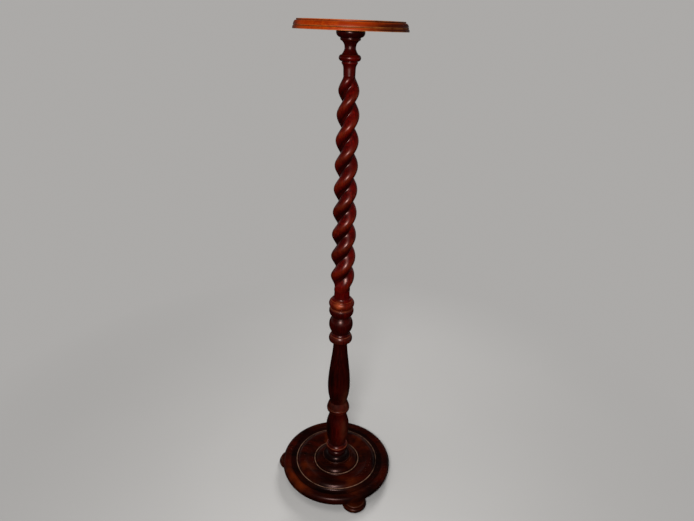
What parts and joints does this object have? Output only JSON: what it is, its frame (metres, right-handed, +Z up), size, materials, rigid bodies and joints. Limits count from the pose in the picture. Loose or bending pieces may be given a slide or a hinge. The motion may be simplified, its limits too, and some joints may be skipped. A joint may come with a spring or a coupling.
{
  "type": "pedestal stand",
  "caption": "Tall slender turned wooden pedestal stand: round moulded top, barley-twist column with ball and vase turnings, round base on bun feet.",
  "frame": {"origin": "on the column's axis at floor level", "axes": "+Z up along the column, -Y towards the viewer's side with one foot near it, +X to the viewer's right"},
  "size_m": [0.3243, 0.315, 1.213],
  "materials": {
    "top_wood": "gloss",
    "column_wood": "gloss",
    "base_wood": "gloss",
    "steel": "zinc plated"
  },
  "bodies": {
    "root": {"top_disc": "top_wood", "upper_column": "column_wood", "lower_column": "column_wood", "base_disc": "base_wood", "foot_front": "base_wood", "foot_back": "base_wood", "foot_left": "base_wood", "column_screw": "steel", "column_washer": "steel", "foot_screws": "steel"}
  },
  "joints": []
}
